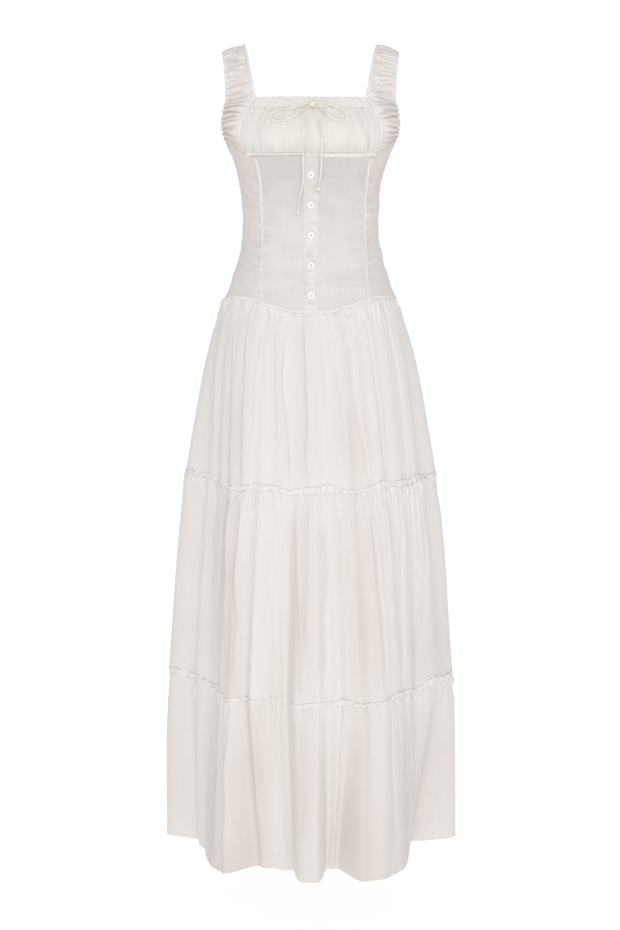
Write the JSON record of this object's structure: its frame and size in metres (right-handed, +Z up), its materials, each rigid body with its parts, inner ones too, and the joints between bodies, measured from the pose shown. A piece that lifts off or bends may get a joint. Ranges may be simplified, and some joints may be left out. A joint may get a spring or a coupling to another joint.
{
  "type": "sleeveless tiered maxi dress",
  "caption": "White cotton maxi dress, square neck, wide ruched straps, gathered bust with a drawstring bow, buttoned bodice and three tiers with frilled seams, in its hollow worn form.",
  "frame": {"origin": "midway between the two shoulder straps' highest points, where the wearer's shoulders hold the dress", "axes": "+Z up, -Y the way the wearer faces, +X towards the wearer's left, which is the picture's right"},
  "size_m": [0.5265, 0.4091, 1.4222],
  "materials": {
    "cotton": "matt, fine crinkled plain weave, a little sheer",
    "ribbon": "soft satin",
    "button": "glossy, pearl white"
  },
  "bodies": {
    "root": {"bust_panel": "cotton", "strap_right": "cotton", "strap_left": "cotton", "front_right": "cotton", "front_left": "cotton", "side_right": "cotton", "side_left": "cotton", "back_panel": "cotton", "skirt_tier_1": "cotton", "skirt_tier_2": "cotton", "skirt_tier_3": "cotton", "neck_casing": "cotton", "underbust_band": "cotton", "placket": "cotton", "princess_seam_right": "cotton", "princess_seam_left": "cotton", "waist_seam": "cotton", "tier_frill_1": "cotton", "tier_frill_2": "cotton", "button_1": "button", "button_2": "button", "button_3": "button", "button_4": "button", "button_5": "button", "bow_knot": "ribbon", "bow_loop_right": "ribbon", "bow_loop_left": "ribbon", "ribbon_end_right": "ribbon", "ribbon_end_left": "ribbon", "ribbon_knot_right": "ribbon", "ribbon_knot_left": "ribbon"}
  },
  "joints": []
}
